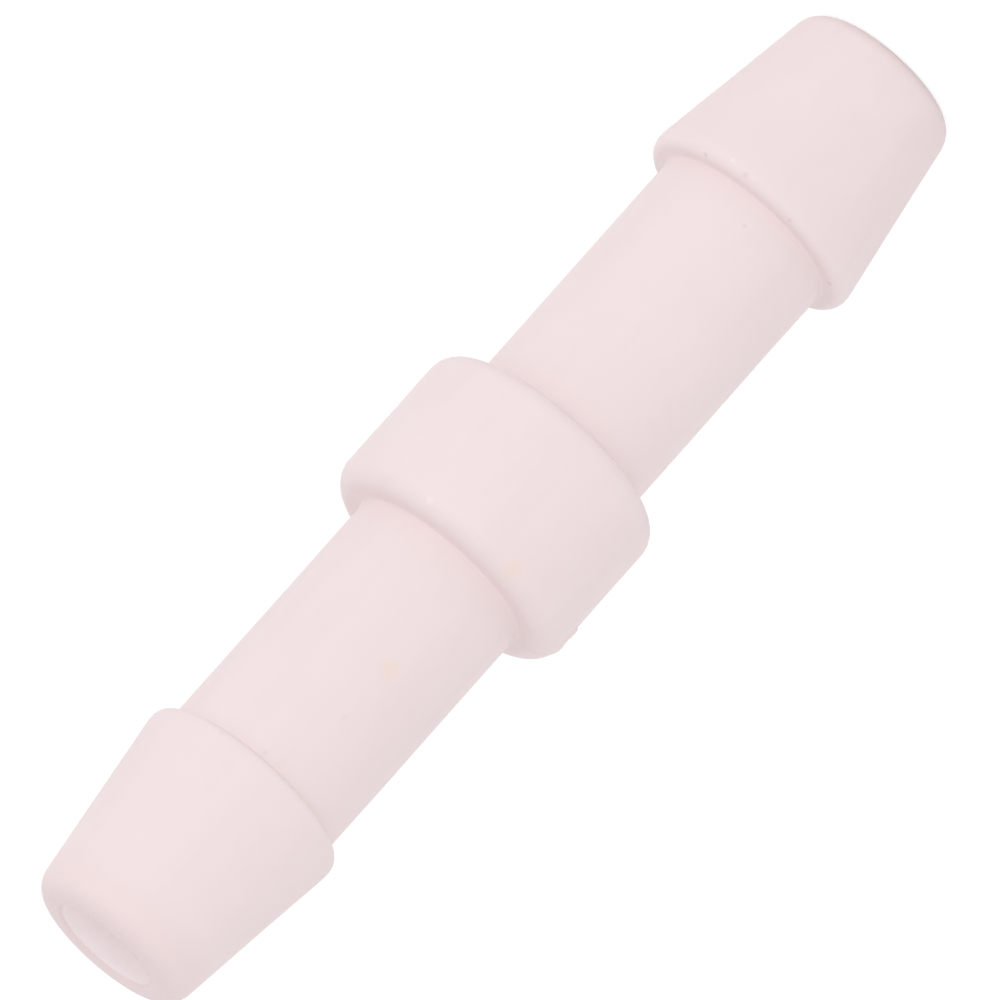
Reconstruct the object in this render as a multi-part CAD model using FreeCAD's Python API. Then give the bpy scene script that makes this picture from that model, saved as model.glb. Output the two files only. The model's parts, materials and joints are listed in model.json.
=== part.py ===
"""Straight barbed hose connector, moulded as one piece.

It stands on the end of its larger barb. +Z runs along the bore and the origin is the centre of the foot's end
face. From the foot up, the body has a barb, a neck, the stop collar, a second neck and the smaller barb.

All lengths are in millimetres and all bearings in degrees, anticlockwise from +X seen from above.
"""

import FreeCAD
import Part

import math
import os
from collections import namedtuple

# Bore, open from end to end
BORE_DIAMETER = 4.5
MOUTH_ROUNDING = 0.25

# Necks, which the hose closes on once it is past a barb
NECK_DIAMETER = 8.0
LOWER_NECK_LENGTH = 12.0
UPPER_NECK_LENGTH = 11.7
ROOT_ROUNDING = 0.15

# Lower barb, the larger one
LOWER_TIP_DIAMETER = 7.35
LOWER_CREST_DIAMETER = 9.8
LOWER_BARB_LENGTH = 8.6

# Upper barb
UPPER_TIP_DIAMETER = 7.2
UPPER_CREST_DIAMETER = 9.25
UPPER_BARB_LENGTH = 8.8

# Edges that both barbs have
TIP_ROUNDING = 0.9
CREST_LAND = 0.3
CREST_ROUNDING = 0.45

# Stop collar, which the hose ends butt against
COLLAR_DIAMETER = 11.1
COLLAR_LENGTH = 6.9
COLLAR_ROUNDING = 0.9

# Mark left by the mould's gate: a low round pad on the collar's side
GATE_DIAMETER = 1.4
GATE_HEIGHT = 0.08
GATE_BELOW_COLLAR_TOP = 1.3
GATE_BEARING = 225.0

# Share of a straight stretch that the roundings at its two ends may use up between them
ROUNDING_SHARE = 0.98

# Heights of the steps, counted up from the foot
LOWER_STEP_Z = LOWER_BARB_LENGTH
COLLAR_BOTTOM_Z = LOWER_STEP_Z + LOWER_NECK_LENGTH
COLLAR_TOP_Z = COLLAR_BOTTOM_Z + COLLAR_LENGTH
UPPER_STEP_Z = COLLAR_TOP_Z + UPPER_NECK_LENGTH
TOTAL_LENGTH = UPPER_STEP_Z + UPPER_BARB_LENGTH

BORE_RADIUS = BORE_DIAMETER / 2
NECK_RADIUS = NECK_DIAMETER / 2
COLLAR_RADIUS = COLLAR_DIAMETER / 2

# A corner of the body's half section: distance from the bore's axis, height, and the radius that rounds it
Corner = namedtuple("Corner", "r z rounding")


def barb_corners(end_z, step_z, tip_diameter, crest_diameter):
    """Corners of one barb, from its mouth at end_z to the neck's root at step_z."""
    inward = math.copysign(1.0, step_z - end_z)
    cone_end_z = step_z - inward * (CREST_ROUNDING + CREST_LAND)
    return [
        Corner(BORE_RADIUS, end_z, MOUTH_ROUNDING),
        Corner(tip_diameter / 2, end_z, TIP_ROUNDING),
        Corner(crest_diameter / 2, cone_end_z, 0.0),
        Corner(crest_diameter / 2, step_z, CREST_ROUNDING),
        Corner(NECK_RADIUS, step_z, ROOT_ROUNDING),
    ]


def collar_corners():
    """Corners of the collar between the two necks, from its bottom to its top."""
    return [
        Corner(NECK_RADIUS, COLLAR_BOTTOM_Z, ROOT_ROUNDING),
        Corner(COLLAR_RADIUS, COLLAR_BOTTOM_Z, COLLAR_ROUNDING),
        Corner(COLLAR_RADIUS, COLLAR_TOP_Z, COLLAR_ROUNDING),
        Corner(NECK_RADIUS, COLLAR_TOP_Z, ROOT_ROUNDING),
    ]


def half_section_corners():
    """Corners of the whole half section, in order round it, from the foot's mouth to the upper one."""
    lower_barb = barb_corners(0.0, LOWER_STEP_Z, LOWER_TIP_DIAMETER, LOWER_CREST_DIAMETER)
    upper_barb = barb_corners(TOTAL_LENGTH, UPPER_STEP_Z, UPPER_TIP_DIAMETER, UPPER_CREST_DIAMETER)
    return lower_barb + collar_corners() + upper_barb[::-1]


def corner_point(corner):
    """The corner's place in the XZ plane."""
    return FreeCAD.Vector(corner.r, 0, corner.z)


def run_directions(before, corner, after):
    """Unit vectors from a corner towards its two neighbours."""
    point = corner_point(corner)
    return (corner_point(before) - point).normalize(), (corner_point(after) - point).normalize()


def tangent_reach(before, corner, after):
    """How far along its two runs a corner's rounding starts and ends."""
    to_before, to_after = run_directions(before, corner, after)
    return corner.rounding / math.tan(to_before.getAngle(to_after) / 2)


def neighbours(corners, i):
    """The corner before number i, that corner, and the one after it, round the closed outline."""
    return corners[i - 1], corners[i], corners[(i + 1) % len(corners)]


def fitted_corners(corners):
    """The corners, with a rounding made smaller where a thin wall or a low step leaves too short a run for it."""
    reaches = [tangent_reach(*neighbours(corners, i)) for i in range(len(corners))]
    shares = []
    for i, corner in enumerate(corners):
        run = (corner_point(corner) - corner_point(corners[i - 1])).Length
        needed = reaches[i - 1] + reaches[i]
        shares.append(min(1.0, ROUNDING_SHARE * run / needed) if needed > 0 else 1.0)
    return [
        corner._replace(rounding=corner.rounding * min(shares[i], shares[(i + 1) % len(corners)]))
        for i, corner in enumerate(corners)
    ]


def corner_arc(before, corner, after):
    """Start, middle and end of the tangent arc that rounds a corner between its two neighbours."""
    point = corner_point(corner)
    to_before, to_after = run_directions(before, corner, after)
    half_angle = to_before.getAngle(to_after) / 2
    reach = tangent_reach(before, corner, after)
    to_centre = (to_before + to_after).normalize()
    to_middle = corner.rounding / math.sin(half_angle) - corner.rounding
    return point + to_before * reach, point + to_centre * to_middle, point + to_after * reach


def rounded_outline(corners):
    """Closed wire through the corners, in the XZ plane, with its rounded corners as tangent arcs."""
    arcs = [corner_arc(*neighbours(corners, i)) for i in range(len(corners))]
    edges = []
    for i, (start, middle, end) in enumerate(arcs):
        previous_end = arcs[i - 1][2]
        edges.append(Part.LineSegment(previous_end, start).toShape())
        if corners[i].rounding > 0:
            edges.append(Part.Arc(start, middle, end).toShape())
    return Part.Wire(edges)


def turned_body():
    """The connector without its gate mark: the half section turned once round the bore's axis."""
    section = Part.Face(rounded_outline(fitted_corners(half_section_corners())))
    return section.revolve(FreeCAD.Vector(0, 0, 0), FreeCAD.Vector(0, 0, 1), 360)


def gate_pad():
    """The gate mark's pad, a short round peg that starts inside the collar's wall."""
    bearing = math.radians(GATE_BEARING)
    outward = FreeCAD.Vector(math.cos(bearing), math.sin(bearing), 0)
    root = outward * NECK_RADIUS + FreeCAD.Vector(0, 0, COLLAR_TOP_Z - GATE_BELOW_COLLAR_TOP)
    return Part.makeCylinder(GATE_DIAMETER / 2, COLLAR_RADIUS + GATE_HEIGHT - NECK_RADIUS, root, outward)


def connector_body():
    """The finished moulding as one solid."""
    return turned_body().fuse(gate_pad()).removeSplitter().Solids[0]


def main():
    """Build the connector and write it."""
    body = connector_body()
    os.makedirs("parts", exist_ok=True)
    body.exportStep("parts/connector_body.step")
    print(f"connector_body: {TOTAL_LENGTH:.2f} mm long, volume {body.Volume:.1f} mm3, valid {body.isValid()}")


main()
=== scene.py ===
"""Looks of a straight barbed hose connector, moulded in one piece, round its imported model.

The connector stands on the end of its larger barb, its foot, with +Z up its bore and the origin at the centre
of the foot's face. Every length is in metres, written as a count of millimetres times MM. Every bearing is in
degrees, anticlockwise from +X as seen from above.
"""

from __future__ import annotations

import json
import logging
import math
from dataclasses import dataclass, field
from enum import Enum

import bpy
import numpy as np
from mathutils import Matrix, Vector, noise


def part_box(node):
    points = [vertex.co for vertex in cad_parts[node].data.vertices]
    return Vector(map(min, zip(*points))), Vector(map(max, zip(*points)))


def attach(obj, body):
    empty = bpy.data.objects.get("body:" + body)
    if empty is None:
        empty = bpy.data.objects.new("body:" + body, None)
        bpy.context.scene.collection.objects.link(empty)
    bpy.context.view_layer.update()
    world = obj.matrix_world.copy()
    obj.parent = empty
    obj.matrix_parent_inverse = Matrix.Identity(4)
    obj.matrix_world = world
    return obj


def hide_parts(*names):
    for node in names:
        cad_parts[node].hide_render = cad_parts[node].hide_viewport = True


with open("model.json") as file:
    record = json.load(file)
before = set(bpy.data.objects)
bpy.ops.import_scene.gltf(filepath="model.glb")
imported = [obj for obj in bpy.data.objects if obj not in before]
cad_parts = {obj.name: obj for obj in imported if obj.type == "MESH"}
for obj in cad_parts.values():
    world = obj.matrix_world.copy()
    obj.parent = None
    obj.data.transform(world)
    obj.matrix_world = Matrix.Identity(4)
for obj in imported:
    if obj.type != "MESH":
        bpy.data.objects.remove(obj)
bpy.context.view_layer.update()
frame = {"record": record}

MM = 0.001
BODY = "root"
CAD_NODE = "connector_body"
PIECE = "moulded_body"

Colour = tuple[float, float, float]
Socket = bpy.types.NodeSocket

log = logging.getLogger("connector")


def mount(name: str) -> dict:
    """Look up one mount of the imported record.

    Args:
        name: The mount's name.

    Returns:
        The mount as the record gives it.
    """
    return next(row for row in frame["record"]["mounts"] if row["name"] == name)


def mount_height(name: str) -> float:
    """Return a mount's height over the foot, in metres."""
    return mount(name)["pos_m"][2]


def mount_radius(name: str) -> float:
    """Return a bore or pin mount's radius, in metres."""
    return mount(name)["dims"]["r_mm"] * MM


def smooth_step(values: np.ndarray, low: float, high: float) -> np.ndarray:
    """Rise smoothly from 0 to 1.

    Args:
        values: The numbers to map.
        low: The number that maps to 0.
        high: The number that maps to 1.

    Returns:
        The mapped numbers, each from 0 to 1.
    """
    share = np.clip((values - low) / (high - low), 0.0, 1.0)
    return share * share * (3.0 - 2.0 * share)


def bearing_gap(bearings: np.ndarray, centre: float) -> np.ndarray:
    """Turn bearings into signed angles from one of them.

    Args:
        bearings: Bearings in degrees.
        centre: The bearing to count from, in degrees.

    Returns:
        The angles in radians, from minus pi to pi.
    """
    return np.radians((bearings - centre + 180.0) % 360.0 - 180.0)


def put_in_scene(data: bpy.types.ID) -> bpy.types.Object:
    """Make an object of some data, give it the same name and add it to the scene.

    Args:
        data: A mesh, light or camera.

    Returns:
        The object.
    """
    item = bpy.data.objects.new(data.name, data)
    bpy.context.scene.collection.objects.link(item)
    return item


@dataclass(frozen=True)
class Corner:
    """One corner of the body's half section.

    Attributes:
        r: Distance from the bore's axis.
        z: Height over the foot.
        rounding: Radius that rounds the corner.
        arc_steps: Mesh steps along that rounding.
    """

    r: float
    z: float
    rounding: float = 0.0
    arc_steps: int = 0

    def point(self) -> np.ndarray:
        """Return the corner as an (r, z) pair."""
        return np.array([self.r, self.z])


@dataclass(frozen=True)
class Barb:
    """A barb: a cone from the mouth out to the crest, then a step down to the neck.

    Attributes:
        end_z: Height of the end face.
        crest_z: Height of the middle of the crest's straight land.
        tip_radius: Radius at which the cone would meet the end face.
        crest_radius: Radius of the crest.
        mouth_rounding: Rounding of the bore's mouth.
        mouth_steps: Mesh steps along it.
        tip_rounding: Rounding of the end face's outer edge.
        tip_steps: Mesh steps along it.
        crest_land: Length of the crest's straight land.
        crest_rounding: Rounding between the land and the step.
        crest_steps: Mesh steps along it.
        root_rounding: Rounding where the step meets the neck.
        root_steps: Mesh steps along it.
    """

    end_z: float
    crest_z: float
    tip_radius: float
    crest_radius: float
    mouth_rounding: float = 0.25 * MM
    mouth_steps: int = 6
    tip_rounding: float = 0.9 * MM
    tip_steps: int = 12
    crest_land: float = 0.3 * MM
    crest_rounding: float = 0.45 * MM
    crest_steps: int = 10
    root_rounding: float = 0.15 * MM
    root_steps: int = 5

    def inward(self) -> float:
        """Return 1 if the neck lies above the barb's mouth, or else -1."""
        return math.copysign(1.0, self.crest_z - self.end_z)

    def step_z(self) -> float:
        """Return the height of the step behind the crest."""
        return self.crest_z + self.inward() * (self.crest_land / 2 + self.crest_rounding)

    def corners(self, bore_radius: float, neck_radius: float) -> list[Corner]:
        """List the barb's corners, from its mouth to the neck's root.

        Args:
            bore_radius: Radius of the bore.
            neck_radius: Radius of the neck behind the barb.

        Returns:
            The corners in order.
        """
        cone_end_z = self.crest_z - self.inward() * self.crest_land / 2
        step_z = self.step_z()
        return [
            Corner(bore_radius, self.end_z, self.mouth_rounding, self.mouth_steps),
            Corner(self.tip_radius, self.end_z, self.tip_rounding, self.tip_steps),
            Corner(self.crest_radius, cone_end_z),
            Corner(self.crest_radius, step_z, self.crest_rounding, self.crest_steps),
            Corner(neck_radius, step_z, self.root_rounding, self.root_steps),
        ]


@dataclass(frozen=True)
class StopCollar:
    """The thick ring between the two necks, which the hose ends butt against.

    Attributes:
        bottom_z: Height of its lower face.
        top_z: Height of its upper face.
        radius: Its outer radius.
        rounding: Rounding of its two outer edges.
        edge_steps: Mesh steps along each of them.
        root_rounding: Rounding where its faces meet the necks.
        root_steps: Mesh steps along that.
    """

    bottom_z: float
    top_z: float
    radius: float
    rounding: float = 0.9 * MM
    edge_steps: int = 20
    root_rounding: float = 0.15 * MM
    root_steps: int = 5

    def corners(self, neck_radius: float) -> list[Corner]:
        """List the collar's corners, from its bottom to its top.

        Args:
            neck_radius: Radius of the necks on both sides.

        Returns:
            The corners in order.
        """
        return [
            Corner(neck_radius, self.bottom_z, self.root_rounding, self.root_steps),
            Corner(self.radius, self.bottom_z, self.rounding, self.edge_steps),
            Corner(self.radius, self.top_z, self.rounding, self.edge_steps),
            Corner(neck_radius, self.top_z, self.root_rounding, self.root_steps),
        ]


@dataclass(frozen=True)
class PartingLine:
    """The hair-fine ridge where the two halves of the mould met, one on each side of the body.

    Attributes:
        bearings: The two bearings that it runs along.
        height: Its greatest height over the surface.
        half_width: Half its width, where it has fallen to a third of its height.
        wander: Length over which its height comes and goes.
        mean_strength: Mean height along it, as a share of its greatest.
        swing: How far that share comes and goes.
        ridge_gap: How far apart in the noise its two ridges are read.
        noise_depth: Where in the noise they are read.
    """

    bearings: tuple[float, float] = (45.0, 225.0)
    height: float = 0.022 * MM
    half_width: float = 0.07 * MM
    wander: float = 3.0 * MM
    mean_strength: float = 0.75
    swing: float = 0.45
    ridge_gap: float = 7.3
    noise_depth: float = 0.5

    def lift(self, r: np.ndarray, z: np.ndarray, bearings: np.ndarray) -> np.ndarray:
        """Work out how far the ridge stands out of the surface.

        Args:
            r: Distances from the axis.
            z: Heights over the foot.
            bearings: Bearings in degrees.

        Returns:
            The lift at each point, in metres.
        """
        total = np.zeros(np.broadcast(r, z, bearings).shape)
        for ridge, centre in enumerate(self.bearings):
            across = r * bearing_gap(bearings, centre) / self.half_width
            places = ((h / self.wander, self.ridge_gap * ridge, self.noise_depth) for h in z.ravel())
            waves = np.array([noise.noise(Vector(place)) for place in places]).reshape(z.shape)
            total += self.height * (self.mean_strength + self.swing * waves) * np.exp(-(across**2))
        return total


@dataclass(frozen=True)
class GateMark:
    """The low round pad that the mould's gate left on the collar's side, with its torn stub.

    Its lower edge is a small step, and its upper edge runs out into the collar's rounded corner. The stub is
    where the feed broke off.

    Attributes:
        bearing: The bearing that it faces.
        z: Height of its centre.
        height: How far it stands out of the collar.
        radius: Its own radius.
        edge: Width of its lower edge.
        run_out: Width of its upper edge.
        side_reach: How far round from its bearing it may change the surface, in degrees.
        stub_radius: Radius of the stub's torn face.
        stub_core: Share of that radius within which the face lies at its deepest.
        stub_dip: How far the torn face lies under the pad.
        roughness: How uneven the torn face is.
        grain: Typical distance between its hollows.
        noise_depth: Where in the noise they are read.
    """

    bearing: float
    z: float
    height: float
    radius: float = 0.7 * MM
    edge: float = 0.09 * MM
    run_out: float = 0.7 * MM
    side_reach: float = 20.0
    stub_radius: float = 0.24 * MM
    stub_core: float = 0.6
    stub_dip: float = 0.05 * MM
    roughness: float = 0.012 * MM
    grain: float = 0.13 * MM
    noise_depth: float = 3.1

    def reach(self) -> float:
        """Return how far from its centre the pad changes the surface."""
        return self.radius + self.run_out / 2

    def raised(self, r: np.ndarray, z: np.ndarray, bearings: np.ndarray) -> np.ndarray:
        """Work out the distances from the axis with the pad in place.

        Args:
            r: Distances from the axis without the pad.
            z: Heights over the foot.
            bearings: Bearings in degrees.

        Returns:
            The new distances from the axis.
        """
        turn = bearing_gap(bearings, self.bearing)
        across = r * np.sin(turn)
        up = z - self.z
        gap = np.hypot(across, up)
        near = np.abs(turn) < math.radians(self.side_reach)
        upward = smooth_step(up / np.maximum(gap, self.edge), 0.0, 1.0)
        edge = self.edge + (self.run_out - self.edge) * upward
        cover = (1.0 - smooth_step(gap, self.radius - edge / 2, self.radius + edge / 2)) * near
        places = zip(across.ravel() / self.grain, up.ravel() / self.grain)
        waves = np.array([noise.noise(Vector((a, u, self.noise_depth))) for a, u in places])
        torn = waves.reshape(across.shape)
        dip = 1.0 - smooth_step(gap, self.stub_radius * self.stub_core, self.stub_radius)
        return r + cover * (self.height - dip * (self.stub_dip + self.roughness * torn))


@dataclass(frozen=True)
class MouldSkin:
    """The slight unevenness of the moulded surface, which only ever lies below the nominal size.

    Attributes:
        sink_depth: Its greatest depth.
        mean_share: Its mean depth, as a share of the greatest.
        swing: How far that share comes and goes.
        wave: Typical distance between its hollows, along the body.
        stretch: How much longer the hollows are along the body than round it.
    """

    sink_depth: float = 0.018 * MM
    mean_share: float = 0.5
    swing: float = 0.6
    wave: float = 5.0 * MM
    stretch: float = 1.8

    def sink(self, r: np.ndarray, z: np.ndarray, bearings: np.ndarray) -> np.ndarray:
        """Work out how far the surface lies under its nominal size.

        Args:
            r: Distances from the axis.
            z: Heights over the foot.
            bearings: Bearings in degrees.

        Returns:
            The depth at each point, in metres.
        """
        turn = np.radians(bearings)
        x = (r * np.cos(turn) * self.stretch / self.wave).ravel()
        y = (r * np.sin(turn) * self.stretch / self.wave).ravel()
        up = (np.broadcast_to(z, r.shape) / self.wave).ravel()
        waves = np.array([noise.noise(Vector(place)) for place in zip(x, y, up)]).reshape(r.shape)
        return self.sink_depth * np.clip(self.mean_share + self.swing * waves, 0.0, 1.0)


@dataclass
class HalfSection:
    """The closed outline that is turned round the bore's axis, with its corners rounded.

    Attributes:
        corners: The corners in order round the outline, with the bore's run last.
        bore_radius: Radius of the bore.
        fine_from: Height at which the fine stretch beside the gate mark starts.
        fine_to: Height at which it ends.
        row_step: Longest stretch between two points on the outside.
        bore_step: Longest stretch between two points in the bore.
        fine_step: Stretch between two points beside the gate mark.
        bore_slack: A run counts as in the bore up to this many times the bore's radius.
        run_margin: Share of a run at each end that takes no fine points.
    """

    corners: list[Corner]
    bore_radius: float
    fine_from: float
    fine_to: float
    row_step: float = 0.4 * MM
    bore_step: float = 1.5 * MM
    fine_step: float = 0.06 * MM
    bore_slack: float = 1.001
    run_margin: float = 0.01

    def arc(self, i: int) -> np.ndarray:
        """Round one corner.

        Args:
            i: The corner's number.

        Returns:
            The points along its rounding, or the corner itself if it has none.
        """
        corner = self.corners[i]
        here = corner.point()
        if corner.rounding == 0.0:
            return here[None, :]
        before = self.corners[i - 1].point() - here
        after = self.corners[(i + 1) % len(self.corners)].point() - here
        before_unit = before / np.linalg.norm(before)
        after_unit = after / np.linalg.norm(after)
        half_angle = math.acos(float(np.clip(before_unit @ after_unit, -1.0, 1.0))) / 2
        to_centre = before_unit + after_unit
        to_centre = to_centre / np.linalg.norm(to_centre)
        centre = here + to_centre * corner.rounding / math.sin(half_angle)
        start = before_unit * corner.rounding / math.tan(half_angle) + here - centre
        end = after_unit * corner.rounding / math.tan(half_angle) + here - centre
        sweep = math.pi - 2 * half_angle
        shares = np.linspace(0.0, 1.0, corner.arc_steps + 1)[:, None]
        turned = np.sin((1 - shares) * sweep) * start + np.sin(shares * sweep) * end
        return centre + turned / math.sin(sweep)

    def run(self, start: np.ndarray, end: np.ndarray) -> list[np.ndarray]:
        """Divide one straight run, without its two ends.

        Args:
            start: The run's first point.
            end: The run's last point.

        Returns:
            The points between them.
        """
        in_bore = max(start[0], end[0]) < self.bore_radius * self.bore_slack
        length = float(np.linalg.norm(end - start))
        step = self.bore_step if in_bore else self.row_step
        shares = set(np.linspace(0.0, 1.0, max(1, math.ceil(length / step)) + 1)[1:-1])
        if not in_bore and abs(end[1] - start[1]) > self.row_step:
            fine = np.arange(self.fine_from, self.fine_to, self.fine_step)
            beside = (fine - start[1]) / (end[1] - start[1])
            beside = beside[(beside > self.run_margin) & (beside < 1.0 - self.run_margin)]
            if len(beside):
                shares = {share for share in shares if not beside.min() < share < beside.max()}
                shares |= set(beside)
        return [start + (end - start) * share for share in sorted(shares)]

    def points(self) -> np.ndarray:
        """Round the corners and divide the runs between them.

        Returns:
            The whole outline as (r, z) pairs, in order.
        """
        arcs = [self.arc(i) for i in range(len(self.corners))]
        rows = []
        for i, arc in enumerate(arcs):
            rows.extend(self.run(arcs[i - 1][-1], arc[0]))
            rows.extend(arc)
        return np.array(rows)

    def normals(self, points: np.ndarray) -> np.ndarray:
        """Work out which way the surface faces at each point of the outline.

        Args:
            points: The outline as (r, z) pairs.

        Returns:
            Unit vectors in (r, z), pointing out of the plastic.
        """
        ahead = np.roll(points, -1, 0) - points
        behind = points - np.roll(points, 1, 0)
        ahead /= np.linalg.norm(ahead, axis=1)[:, None]
        behind /= np.linalg.norm(behind, axis=1)[:, None]
        along = ahead + behind
        along /= np.linalg.norm(along, axis=1)[:, None]
        return np.stack([along[:, 1], -along[:, 0]], axis=1)


class SpotKind(Enum):
    """What a small spot on the moulding is."""

    GRIT = "grit"
    # A painted highlight: a small lighter spot in place of a glint of light.
    PAINTED_GLINT = "painted_glint"
    SCORCH = "scorch"


@dataclass(frozen=True)
class Spot:
    """A small spot on the surface.

    Attributes:
        kind: What it is.
        bearing: The bearing that it faces.
        z: Height of its centre.
        r: Distance of its centre from the bore's axis.
        radius: Its own radius.
        share: How much of its tint shows at its centre.
        core: Share of its radius within which it doesn't fade.
    """

    kind: SpotKind
    bearing: float
    z: float
    r: float
    radius: float
    share: float
    core: float = 0.3

    def centre(self) -> Vector:
        """Return the spot's centre."""
        turn = math.radians(self.bearing)
        return Vector((self.r * math.cos(turn), self.r * math.sin(turn), self.z))


@dataclass(frozen=True)
class Mottle:
    """A pattern of soft patches in the plastic.

    Attributes:
        size: Typical distance between two patches.
        detail: How many finer layers the pattern has.
        stretch: How much longer the patches are along the bore than across it.
        low: Noise at which a patch starts to show.
        high: Noise at which it shows in full.
    """

    size: float
    detail: float
    stretch: float = 1.0
    low: float = 0.3
    high: float = 0.7


@dataclass
class NodeDesk:
    """A material's node tree, with short ways to add to it.

    Attributes:
        tree: The node tree.
    """

    tree: bpy.types.NodeTree

    def add(self, kind: str, **settings: object) -> bpy.types.Node:
        """Add one node.

        Args:
            kind: The node's type without the ShaderNode prefix.
            **settings: Its own settings.

        Returns:
            The new node.
        """
        node = self.tree.nodes.new("ShaderNode" + kind)
        for name, value in settings.items():
            setattr(node, name, value)
        return node

    def link(self, source: Socket, target: Socket) -> None:
        """Join an output to an input."""
        self.tree.links.new(source, target)

    def maths(self, operation: str, first: Socket | float, second: Socket | float | None = None) -> Socket:
        """Add one maths node.

        Args:
            operation: Blender's name for the operation.
            first: A socket or a number.
            second: A socket or a number, where the operation takes two.

        Returns:
            The result's socket.
        """
        node = self.add("Math", operation=operation)
        for place, value in enumerate((first, second)):
            if isinstance(value, Socket):
                self.link(value, node.inputs[place])
            elif value is not None:
                node.inputs[place].default_value = value
        return node.outputs[0]

    def ramp(self, value: Socket, low: float, high: float, start: float, end: float) -> Socket:
        """Map a value smoothly from one range to another.

        Args:
            value: The socket to map.
            low: Where the range starts.
            high: Where it ends.
            start: The result at its start.
            end: The result at its end.

        Returns:
            The result's socket.
        """
        node = self.add("MapRange", interpolation_type="SMOOTHSTEP")
        self.link(value, node.inputs["Value"])
        for name, number in (("From Min", low), ("From Max", high), ("To Min", start), ("To Max", end)):
            node.inputs[name].default_value = number
        return node.outputs["Result"]

    def blend(self, share: Socket, first: Socket | Colour, second: Socket | Colour) -> Socket:
        """Mix two colours.

        Args:
            share: The socket that gives how much of the second shows.
            first: A socket or a colour.
            second: A socket or a colour.

        Returns:
            The mixed colour's socket.
        """
        node = self.add("Mix", data_type="RGBA", blend_type="MIX")
        self.link(share, node.inputs[0])
        for socket, value in zip(node.inputs[6:8], (first, second)):
            if isinstance(value, Socket):
                self.link(value, socket)
            else:
                socket.default_value = (*value, 1.0)
        return node.outputs[2]

    def choose(self, share: Socket, first: Socket, second: Socket) -> Socket:
        """Mix two shaders.

        Args:
            share: The socket that gives how much of the second shows.
            first: The first shader's socket.
            second: The second shader's socket.

        Returns:
            The mixed shader's socket.
        """
        node = self.add("MixShader")
        for source, target in zip((share, first, second), node.inputs):
            self.link(source, target)
        return node.outputs[0]

    def split(self, vector: Socket) -> bpy.types.NodeOutputs:
        """Take a vector apart.

        Args:
            vector: The vector's socket.

        Returns:
            The outputs named X, Y and Z.
        """
        node = self.add("SeparateXYZ")
        self.link(vector, node.inputs["Vector"])
        return node.outputs

    def noise(self, place: Socket, pattern: Mottle) -> Socket:
        """Add noise fixed to the object.

        Args:
            place: The socket that gives the place in metres.
            pattern: The noise's size, detail and stretch.

        Returns:
            The noise's socket, from 0 to 1.
        """
        across = 1 / pattern.size
        mapping = self.add("Mapping")
        self.link(place, mapping.inputs["Vector"])
        mapping.inputs["Scale"].default_value = (across, across, 1 / (pattern.size * pattern.stretch))
        texture = self.add("TexNoise", noise_dimensions="3D")
        self.link(mapping.outputs["Vector"], texture.inputs["Vector"])
        texture.inputs["Scale"].default_value = 1.0
        texture.inputs["Detail"].default_value = pattern.detail
        return texture.outputs["Fac"]

    def patches(self, place: Socket, pattern: Mottle, least: float, most: float) -> Socket:
        """Add soft patches fixed to the object.

        Args:
            place: The socket that gives the place in metres.
            pattern: The patches' pattern.
            least: The result between the patches.
            most: The result within them.

        Returns:
            The result's socket.
        """
        return self.ramp(self.noise(place, pattern), pattern.low, pattern.high, least, most)


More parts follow.
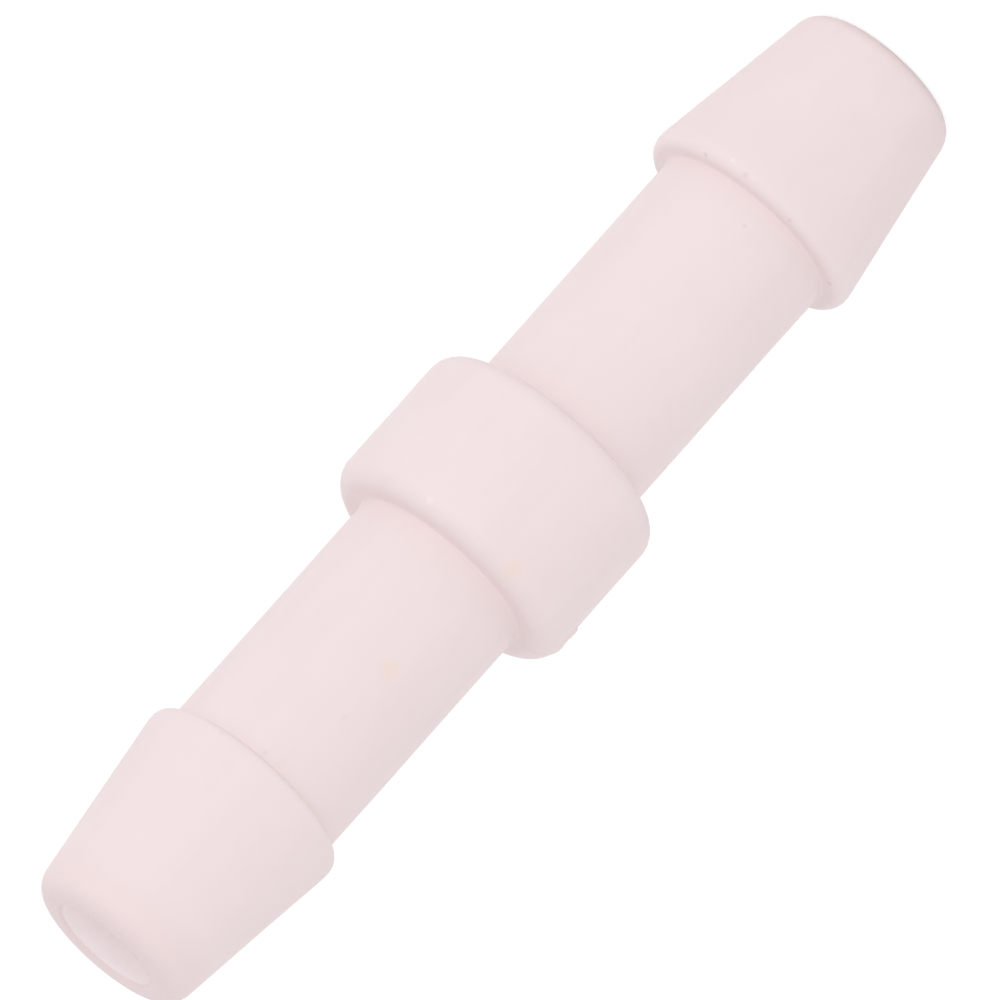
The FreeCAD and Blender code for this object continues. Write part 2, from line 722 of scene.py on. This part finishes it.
@dataclass(frozen=True)
class NaturalPlastic:
    """Unpigmented moulded plastic: milky, faintly pink, with a satin skin that lets some light through.

    Attributes:
        colour: The plastic's own colour.
        cloud: Its colour where it is cloudier.
        streak: Its colour along the flow streaks.
        clouds: The clouds' pattern.
        cloud_share: How much of the cloudier colour shows within them.
        streaks: The flow streaks' pattern.
        streak_share: How much of their colour shows within them.
        grit: Colour of a speck of grit under the skin.
        scorch: Colour of a scorched patch.
        painted_glint: Colour of a glint: a painted highlight, lighter than the plastic.
        end_shade_colour: Its colour towards the smaller barb's end, a little darker than the rest: painted
            shade.
        end_shade_reach: How far down from that end the painted shade reaches.
        end_shade_full: How far down from that end it shows in full.
        bore_shade_colour: Its colour in the bore, darker and pinker than the rest: painted shade, standing in
            for the light that comes through the wall from all round.
        bore_edge: Where the bore's look starts and stops to fade, as shares of the bore's radius.
        gloss: Strength of the skin's reflections.
        ior: The skin's index of refraction.
        roughness: Its mean roughness.
        rough_patches: Pattern of its rougher patches.
        rough_change: How far the roughness falls between them and rises within them.
        fine_grain: Pattern of the finer mould grain.
        fine_weight: Its height, as a share of the coarser grain's.
        coarse_grain: Pattern of the coarser mould grain.
        pit_weight: Depth of a full pit at a speck, as a multiple of the coarser grain's height.
        relief: Height of the coarser grain.
        bleed_share: Share of the light that travels under the skin.
        bleed_depth: How far it travels there.
        bore_bleed_share: The same share in the bore.
        bore_bleed_depth: The same depth in the bore.
        bleed: How far each of red, green and blue goes of that.
    """

    colour: Colour = (0.877, 0.750, 0.752)
    cloud: Colour = (0.889, 0.766, 0.769)
    streak: Colour = (0.863, 0.735, 0.739)
    clouds: Mottle = Mottle(4.5 * MM, 3.0, low=0.38, high=0.68)
    cloud_share: float = 0.8
    streaks: Mottle = Mottle(1.1 * MM, 3.0, stretch=9.0, low=0.50, high=0.72)
    streak_share: float = 0.55
    grit: Colour = (0.42, 0.33, 0.34)
    scorch: Colour = (0.90, 0.72, 0.62)
    painted_glint: Colour = (0.98, 0.84, 0.845)
    end_shade_colour: Colour = (0.868, 0.726, 0.728)
    end_shade_reach: float = 2.4 * MM
    end_shade_full: float = 0.7 * MM
    bore_shade_colour: Colour = (0.91, 0.61, 0.62)
    bore_edge: tuple[float, float] = (1.004, 1.03)
    gloss: float = 0.3
    ior: float = 1.5
    roughness: float = 0.55
    rough_patches: Mottle = Mottle(2.2 * MM, 4.0, stretch=2.5)
    rough_change: tuple[float, float] = (0.06, 0.07)
    fine_grain: Mottle = Mottle(0.09 * MM, 2.0)
    fine_weight: float = 0.25
    coarse_grain: Mottle = Mottle(0.7 * MM, 2.0)
    pit_weight: float = 3.0
    relief: float = 0.008 * MM
    bleed_share: float = 0.1
    bleed_depth: float = 1.3 * MM
    bore_bleed_share: float = 1.0
    bore_bleed_depth: float = 11.0 * MM
    bleed: Colour = (1.0, 1.0, 1.0)

    def material(self, spots: list[Spot], bore_radius: float, length: float) -> bpy.types.Material:
        """Make the plastic's material.

        Args:
            spots: The small spots on the moulding.
            bore_radius: Radius of the bore.
            length: Length of the whole part.

        Returns:
            The material.
        """
        material = bpy.data.materials.new("natural_plastic_skin")
        material.use_nodes = True
        desk = NodeDesk(material.node_tree)
        skin = desk.tree.nodes["Principled BSDF"]
        place = desk.add("TexCoord").outputs["Object"]
        from_axis = self.axis_distance(desk, place)
        bore_zone = [bore_radius * share for share in self.bore_edge]
        # The bore takes a darker, pinker colour of its own: painted shade.
        in_bore = desk.ramp(from_axis, *bore_zone, 1.0, 0.0)
        colour = desk.blend(in_bore, self.outer_colour(desk, place, length), self.bore_shade_colour)
        pits = None
        for spot in spots:
            colour, pits = self.spotted(desk, place, colour, pits, spot)
        desk.link(colour, skin.inputs["Base Color"])
        share = desk.ramp(from_axis, *bore_zone, self.bore_bleed_share, self.bleed_share)
        desk.link(share, skin.inputs["Subsurface Weight"])
        depth = desk.ramp(from_axis, *bore_zone, self.bore_bleed_depth, self.bleed_depth)
        desk.link(depth, skin.inputs["Subsurface Scale"])
        skin.inputs["Subsurface Radius"].default_value = self.bleed
        skin.inputs["IOR"].default_value = self.ior
        skin.inputs["Specular IOR Level"].default_value = self.gloss
        desk.link(self.sheen_change(desk, place), skin.inputs["Roughness"])
        desk.link(self.grain(desk, place, pits), skin.inputs["Normal"])
        return material

    def cloudy_colour(self, desk: NodeDesk, place: Socket) -> Socket:
        """Mix the plastic's colour with its clouds and flow streaks.

        Args:
            desk: The material's node tree.
            place: The socket that gives the place in metres.

        Returns:
            The colour's socket.
        """
        clouds = desk.patches(place, self.clouds, 0.0, self.cloud_share)
        streaks = desk.patches(place, self.streaks, 0.0, self.streak_share)
        return desk.blend(streaks, desk.blend(clouds, self.colour, self.cloud), self.streak)

    def outer_colour(self, desk: NodeDesk, place: Socket, length: float) -> Socket:
        """Lay painted shade on the smaller barb's end, over the cloudy plastic.

        Args:
            desk: The material's node tree.
            place: The socket that gives the place in metres.
            length: Length of the whole part.

        Returns:
            The colour's socket.
        """
        height = desk.split(place)["Z"]
        # Painted shade: the colour turns darker over the last few millimetres towards the smaller barb's end.
        end_shade = desk.ramp(height, length - self.end_shade_reach, length - self.end_shade_full, 0.0, 1.0)
        return desk.blend(end_shade, self.cloudy_colour(desk, place), self.end_shade_colour)

    def axis_distance(self, desk: NodeDesk, place: Socket) -> Socket:
        """Measure how far each point lies from the bore's axis.

        Args:
            desk: The material's node tree.
            place: The socket that gives the place in metres.

        Returns:
            The distance's socket, in metres.
        """
        split = desk.split(place)
        squares = [desk.maths("MULTIPLY", split[axis], split[axis]) for axis in ("X", "Y")]
        return desk.maths("SQRT", desk.maths("ADD", *squares))

    def sheen_change(self, desk: NodeDesk, place: Socket) -> Socket:
        """Vary the roughness a little over the surface.

        Args:
            desk: The material's node tree.
            place: The socket that gives the place in metres.

        Returns:
            The roughness's socket.
        """
        fall, rise = self.rough_change
        return desk.patches(place, self.rough_patches, self.roughness - fall, self.roughness + rise)

    def grain(self, desk: NodeDesk, place: Socket, pits: Socket | None) -> Socket:
        """Make the skin's fine relief: the mould's grain and the pits at the specks.

        Args:
            desk: The material's node tree.
            place: The socket that gives the place in metres.
            pits: The socket that gives how deep a pit is, or None.

        Returns:
            The bent normal's socket.
        """
        fine = desk.maths("MULTIPLY", desk.noise(place, self.fine_grain), self.fine_weight)
        height = desk.maths("ADD", fine, desk.noise(place, self.coarse_grain))
        if pits is not None:
            height = desk.maths("SUBTRACT", height, desk.maths("MULTIPLY", pits, self.pit_weight))
        bump = desk.add("Bump")
        bump.inputs["Strength"].default_value = 1.0
        bump.inputs["Distance"].default_value = self.relief
        desk.link(height, bump.inputs["Height"])
        return bump.outputs["Normal"]

    def spotted(
        self, desk: NodeDesk, place: Socket, colour: Socket, pits: Socket | None, spot: Spot
    ) -> tuple[Socket, Socket | None]:
        """Lay one small spot on the colour.

        Args:
            desk: The material's node tree.
            place: The socket that gives the place in metres.
            colour: The colour so far.
            pits: The pits' depth so far, or None.
            spot: The spot.

        Returns:
            The new colour and the new depth of the pits.
        """
        # Glint spots are painted highlights; grit and scorch spots are marks in the plastic.
        tints = {SpotKind.GRIT: self.grit, SpotKind.PAINTED_GLINT: self.painted_glint, SpotKind.SCORCH: self.scorch}
        gap = desk.add("VectorMath", operation="DISTANCE")
        desk.link(place, gap.inputs[0])
        gap.inputs[1].default_value = spot.centre()
        cover = desk.ramp(gap.outputs["Value"], spot.radius * spot.core, spot.radius, spot.share, 0.0)
        colour = desk.blend(cover, colour, tints[spot.kind])
        if spot.kind is SpotKind.GRIT:
            pits = cover if pits is None else desk.maths("MAXIMUM", pits, cover)
        return colour, pits


@dataclass
class ConnectorBody:
    """The moulded connector: its sizes, its mesh and its finish.

    Attributes:
        neck_radius: Radius of both necks.
        foot_tip_radius: Tip radius of the barb that it stands on.
        top_tip_radius: Tip radius of the smaller barb.
        gate_below_collar_top: How far the gate mark's centre lies below the collar's upper face.
        gate_height: How far the gate mark stands out.
        gate_bearing: The bearing that it faces.
        end_clearance: How far from each end the fine marks show in full.
        mark_fade: Where on an end face they start to show, as a share of the bore's radius, and where they
            show in full, as a share of the foot's tip radius.
        column_step: Widest step between two columns of the mesh, in degrees.
        fine_column_step: Step over a parting line and the gate mark, in degrees.
        seam_reach: How far to each side of a parting line that step goes, in degrees.
        parting_line: The mould's parting line.
        skin: The moulded surface's unevenness.
        finish: The plastic.
        length: Length of the whole part.
        bore_radius: Radius of the bore.
        foot_barb: The barb that it stands on.
        top_barb: The smaller barb.
        collar: The stop collar.
        gate: The gate mark.
    """

    neck_radius: float = 4.0 * MM
    foot_tip_radius: float = 3.675 * MM
    top_tip_radius: float = 3.6 * MM
    gate_below_collar_top: float = 1.3 * MM
    gate_height: float = 0.08 * MM
    gate_bearing: float = 225.0
    end_clearance: float = 0.6 * MM
    mark_fade: tuple[float, float] = (1.05, 0.95)
    column_step: float = 1.25
    fine_column_step: float = 0.45
    seam_reach: float = 2.2
    parting_line: PartingLine = field(default_factory=PartingLine)
    skin: MouldSkin = field(default_factory=MouldSkin)
    finish: NaturalPlastic = field(default_factory=NaturalPlastic)
    length: float = field(init=False)
    bore_radius: float = field(init=False)
    foot_barb: Barb = field(init=False)
    top_barb: Barb = field(init=False)
    collar: StopCollar = field(init=False)
    gate: GateMark = field(init=False)

    def __post_init__(self) -> None:
        """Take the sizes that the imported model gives."""
        low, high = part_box(CAD_NODE)
        self.length = high.z - low.z
        self.bore_radius = mount_radius("flow_bore")
        self.foot_barb = self.barb(0.0, "lower_barb_crest", self.foot_tip_radius)
        self.top_barb = self.barb(self.length, "upper_barb_crest", self.top_tip_radius)
        radius = (high.x - low.x) / 2
        self.collar = StopCollar(mount_height("lower_hose_stop"), mount_height("upper_hose_stop"), radius)
        gate_z = self.collar.top_z - self.gate_below_collar_top
        self.gate = GateMark(self.gate_bearing, gate_z, self.gate_height)

    def barb(self, end_z: float, crest: str, tip_radius: float) -> Barb:
        """Size one barb from the mount at its crest.

        Args:
            end_z: Height of the barb's end face.
            crest: The mount's name.
            tip_radius: Radius at which the cone would meet the end face.

        Returns:
            The barb.
        """
        return Barb(end_z, mount_height(crest), tip_radius, mount_radius(crest))

    def half_section(self) -> HalfSection:
        """Put the outline together from the barbs and the collar.

        Returns:
            The half section.
        """
        corners = self.foot_barb.corners(self.bore_radius, self.neck_radius)
        corners += self.collar.corners(self.neck_radius)
        corners += self.top_barb.corners(self.bore_radius, self.neck_radius)[::-1]
        reach = self.gate.reach()
        return HalfSection(corners, self.bore_radius, self.gate.z - reach, self.gate.z + reach)

    def bearings(self) -> np.ndarray:
        """Place the mesh's columns, closer together over the fine marks.

        Returns:
            Their bearings in degrees, from the lowest up.
        """
        gate_reach = math.degrees(self.gate.reach() / self.collar.radius)
        zones = [(self.parting_line.bearings[0], self.seam_reach), (self.gate.bearing, gate_reach)]
        columns = list(np.arange(0.0, 360.0, self.column_step))
        for centre, reach in zones:
            columns = [b for b in columns if abs(b - centre) > reach + self.fine_column_step / 2]
            columns += list(np.arange(centre - reach, centre + reach, self.fine_column_step))
        return np.array(sorted(columns))

    def surface(self) -> np.ndarray:
        """Work out every point of the surface, fine marks included.

        Returns:
            The points, as rows along the outline by columns round the axis by x, y and z.
        """
        section = self.half_section()
        outline = section.points()
        normals = section.normals(outline)
        bearings = self.bearings()
        r = np.repeat(outline[:, :1], len(bearings), axis=1)
        z = np.repeat(outline[:, 1:], len(bearings), axis=1)
        turns = np.repeat(bearings[None, :], len(outline), axis=0)
        fade_from, fade_to = self.mark_fade
        marked = smooth_step(outline[:, 0], self.bore_radius * fade_from, self.foot_tip_radius * fade_to)
        from_end = np.minimum(outline[:, 1], self.length - outline[:, 1])
        marked = (marked * smooth_step(from_end, 0.0, self.end_clearance))[:, None]
        lift = (self.parting_line.lift(r, z, turns) - self.skin.sink(r, z, turns)) * marked
        r = r + lift * normals[:, :1]
        z = z + lift * normals[:, 1:]
        on_collar = (outline[:, 0] > (self.neck_radius + self.collar.radius) / 2)[:, None]
        r = np.where(on_collar, self.gate.raised(r, z, turns), r)
        angles = np.radians(turns)
        return np.stack([r * np.cos(angles), r * np.sin(angles), z], axis=2)

    def build(self) -> bpy.types.Object:
        """Make the connector's mesh object.

        Returns:
            The object, dressed and riding on its body.
        """
        points = self.surface()
        rows, columns = points.shape[:2]
        ids = np.arange(rows * columns).reshape(rows, columns)
        down = np.roll(ids, -1, 0)
        faces = np.stack([ids, np.roll(ids, -1, 1), np.roll(down, -1, 1), down], axis=2).reshape(-1, 4)
        mesh = bpy.data.meshes.new(PIECE)
        mesh.from_pydata(points.reshape(-1, 3).tolist(), [], faces.tolist())
        mesh.validate()
        mesh.shade_smooth()
        mesh.materials.append(self.finish.material(self.spots(), self.bore_radius, self.length))
        piece = put_in_scene(mesh)
        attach(piece, BODY)
        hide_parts(CAD_NODE)
        return piece

    def spots(self) -> list[Spot]:
        """List the small spots on the moulding.

        Returns:
            The spots that the photograph shows.
        """
        crest = self.foot_barb.crest_radius
        step_z = self.foot_barb.step_z()
        rim = self.collar.radius
        rim_z = self.collar.top_z
        neck = self.neck_radius
        return [
            Spot(SpotKind.GRIT, -4.8, step_z - 0.10 * MM, crest - 0.20 * MM, 0.14 * MM, 0.27),
            Spot(SpotKind.GRIT, -28.9, step_z - 0.24 * MM, crest - 0.07 * MM, 0.17 * MM, 0.14),
            Spot(SpotKind.GRIT, -59.1, step_z - 0.07 * MM, crest - 0.24 * MM, 0.14 * MM, 0.20),
            Spot(SpotKind.GRIT, -108.0, step_z - 0.01 * MM, crest - 0.45 * MM, 0.16 * MM, 0.22),
            Spot(SpotKind.GRIT, -44.5, 9.76 * MM, neck, 0.12 * MM, 0.16),
            Spot(SpotKind.GRIT, -39.6, 38.89 * MM, neck, 0.16 * MM, 0.10),
            Spot(SpotKind.GRIT, -17.3, 39.46 * MM, neck + 0.58 * MM, 0.20 * MM, 0.07),
            Spot(SpotKind.GRIT, -60.2, 35.63 * MM, neck, 0.20 * MM, 0.06),
            # Two painted highlights: one below the foot barb's crest, one on the collar's upper rim.
            Spot(SpotKind.PAINTED_GLINT, -19.4, step_z - 0.42 * MM, crest, 0.16 * MM, 0.55),
            Spot(SpotKind.PAINTED_GLINT, -22.0, rim_z - 0.45 * MM, rim - 0.15 * MM, 0.22 * MM, 0.50),
            Spot(SpotKind.SCORCH, -61.6, 32.96 * MM, neck, 0.64 * MM, 0.38),
            Spot(SpotKind.SCORCH, -67.6, rim_z - 0.57 * MM, rim - 0.07 * MM, 0.56 * MM, 0.45),
        ]


@dataclass(frozen=True)
class Studio:
    """The plain studio: a pale floor, white air all round and one soft lamp.

    Attributes:
        floor_size: Side of the square floor.
        floor_drop: How far the floor lies under the foot, so that the two don't touch.
        floor_colour: The floor's own colour, as it lights the part.
        floor_glow: How much of the floor's white doesn't depend on the light.
        floor_share: How much of it does, so that the shadow shows.
        sky_low: Brightness of the air at the height of the part.
        sky_high: Brightness of the air overhead.
        lamp_bearing: The bearing from which the lamp shines.
        lamp_height: How far above the horizon it hangs, in degrees.
        lamp_distance: How far from the part it hangs.
        lamp_size: Side of the square lamp.
        lamp_power: Its power in watts.
        lamp_colour: Its colour.
    """

    floor_size: float = 6.0
    floor_drop: float = 0.02 * MM
    floor_colour: Colour = (0.96, 0.96, 0.96)
    floor_glow: float = 0.86
    floor_share: float = 0.22
    sky_low: Colour = (1.15, 1.15, 1.15)
    sky_high: Colour = (0.69, 0.69, 0.70)
    lamp_bearing: float = -15.0
    lamp_height: float = 6.0
    lamp_distance: float = 0.9
    lamp_size: float = 0.6
    lamp_power: float = 1.52
    lamp_colour: Colour = (1.0, 0.99, 0.98)

    def seen_share(self, desk: NodeDesk) -> Socket:
        """Tell the rays that look at the background, straight or by reflection, from the rest.

        Args:
            desk: The node tree of the floor or the air.

        Returns:
            A socket that is 1 for the rays that look, and 0 for the rest.
        """
        path = desk.add("LightPath").outputs
        glossy = desk.maths("MAXIMUM", path["Is Camera Ray"], path["Is Glossy Ray"])
        return desk.maths("MAXIMUM", glossy, path["Is Transmission Ray"])

    def floor_material(self) -> bpy.types.Material:
        """Make the floor's material: plain for light, nearly white to look at, with the shadow kept.

        Returns:
            The material.
        """
        material = bpy.data.materials.new("studio_floor")
        material.use_nodes = True
        desk = NodeDesk(material.node_tree)
        desk.tree.nodes.remove(desk.tree.nodes["Principled BSDF"])
        plain = desk.add("BsdfDiffuse")
        plain.inputs["Color"].default_value = (*self.floor_colour, 1.0)
        faint = desk.add("BsdfDiffuse")
        faint.inputs["Color"].default_value = (self.floor_share,) * 3 + (1.0,)
        glow = desk.add("Emission")
        glow.inputs["Strength"].default_value = self.floor_glow
        bright = desk.add("AddShader")
        desk.link(faint.outputs[0], bright.inputs[0])
        desk.link(glow.outputs[0], bright.inputs[1])
        seen = desk.choose(self.seen_share(desk), plain.outputs[0], bright.outputs[0])
        desk.link(seen, desk.tree.nodes["Material Output"].inputs["Surface"])
        return material

    def floor(self) -> bpy.types.Object:
        """Lay the floor that the part stands on.

        Returns:
            The floor.
        """
        half = self.floor_size / 2
        corners = [(-half, -half), (half, -half), (half, half), (-half, half)]
        mesh = bpy.data.meshes.new("studio_floor")
        mesh.from_pydata([(x, y, -self.floor_drop) for x, y in corners], [], [(0, 1, 2, 3)])
        mesh.materials.append(self.floor_material())
        floor = put_in_scene(mesh)
        return floor

    def air(self) -> None:
        """Fill the world with soft light, a little darker overhead, and show it as white."""
        world = bpy.data.worlds.new("studio_air")
        bpy.context.scene.world = world
        world.use_nodes = True
        desk = NodeDesk(world.node_tree)
        lit = desk.tree.nodes["Background"]
        height = desk.split(desk.add("TexCoord").outputs["Generated"])["Z"]
        rise = desk.ramp(height, 0.0, 1.0, 0.0, 1.0)
        desk.link(desk.blend(rise, self.sky_low, self.sky_high), lit.inputs["Color"])
        white = desk.add("Background")
        white.inputs["Color"].default_value = (1.0, 1.0, 1.0, 1.0)
        seen = desk.choose(self.seen_share(desk), lit.outputs[0], white.outputs[0])
        desk.link(seen, desk.tree.nodes["World Output"].inputs["Surface"])

    def lamp(self, target: Vector) -> bpy.types.Object:
        """Hang the soft lamp.

        Args:
            target: The point that it faces.

        Returns:
            The lamp.
        """
        light = bpy.data.lights.new("soft_lamp", "AREA")
        light.shape = "SQUARE"
        light.size = self.lamp_size
        light.energy = self.lamp_power
        light.color = self.lamp_colour
        lamp = put_in_scene(light)
        turn = math.radians(self.lamp_bearing)
        rise = math.radians(self.lamp_height)
        away = Vector((math.cos(turn) * math.cos(rise), math.sin(turn) * math.cos(rise), math.sin(rise)))
        lamp.location = target + away * self.lamp_distance
        lamp.rotation_euler = away.to_track_quat("Z", "Y").to_euler()
        return lamp


@dataclass(frozen=True)
class ProductCamera:
    """The camera, which sees the part from a little above and turned on its side, through a long lens.

    Attributes:
        azimuth: Degrees round the part from a view along +Y.
        elevation: Degrees above the horizon.
        roll: Degrees that the camera is turned about its own line of sight.
        lens_mm: Focal length.
        sensor_mm: Width of the sensor.
        field: Width of the picture at the part.
        aim_z: Height of the point of the bore's axis beside the picture's centre.
        aim_aside: How far right of the axis the picture's centre lies, before the roll.
        clip_shares: Nearest and farthest distance that it sees, as multiples of its distance from the part.
    """

    azimuth: float = 45.0
    elevation: float = 16.5
    roll: float = -138.35
    lens_mm: float = 800.0
    sensor_mm: float = 36.0
    field: float = 39.38 * MM
    aim_z: float = 23.67 * MM
    aim_aside: float = 0.064 * MM
    clip_shares: tuple[float, float] = (0.1, 10.0)

    def build(self) -> bpy.types.Object:
        """Make the camera and give it to the scene.

        Returns:
            The camera.
        """
        turn = math.radians(self.azimuth)
        rise = math.radians(self.elevation)
        back = Vector((math.sin(turn) * math.cos(rise), -math.cos(turn) * math.cos(rise), math.sin(rise)))
        right = Vector((math.cos(turn), math.sin(turn), 0.0))
        up = back.cross(right)
        upright = Matrix((right, up, back)).transposed()
        rolled = upright @ Matrix.Rotation(math.radians(self.roll), 3, "Z")
        distance = self.field * self.lens_mm / self.sensor_mm
        data = bpy.data.cameras.new("product_camera")
        data.lens = self.lens_mm
        data.sensor_width = self.sensor_mm
        data.clip_start, data.clip_end = (distance * share for share in self.clip_shares)
        camera = put_in_scene(data)
        camera.rotation_euler = rolled.to_euler()
        camera.location = Vector((0.0, 0.0, self.aim_z)) + right * self.aim_aside + back * distance
        bpy.context.scene.camera = camera
        return camera


def report(piece: bpy.types.Object) -> None:
    """Log a piece's name and kind, and its triangles if it is a mesh.

    Args:
        piece: The piece, lamp or camera.
    """
    faces = piece.data.polygons if piece.type == "MESH" else ()
    triangles = sum(len(face.vertices) - 2 for face in faces)
    log.info("%s: %s, %d triangles", piece.name, piece.type.lower(), triangles)


def main() -> None:
    """Build the camera, the studio and the connector, and report each."""
    logging.basicConfig(level=logging.INFO, format="%(name)s: %(message)s")
    bpy.context.scene.view_settings.view_transform = "Standard"
    report(ProductCamera().build())
    body = ConnectorBody()
    studio = Studio()
    report(studio.floor())
    studio.air()
    report(studio.lamp(Vector((0.0, 0.0, body.length / 2))))
    report(body.build())


if __name__ == "__main__":
    main()
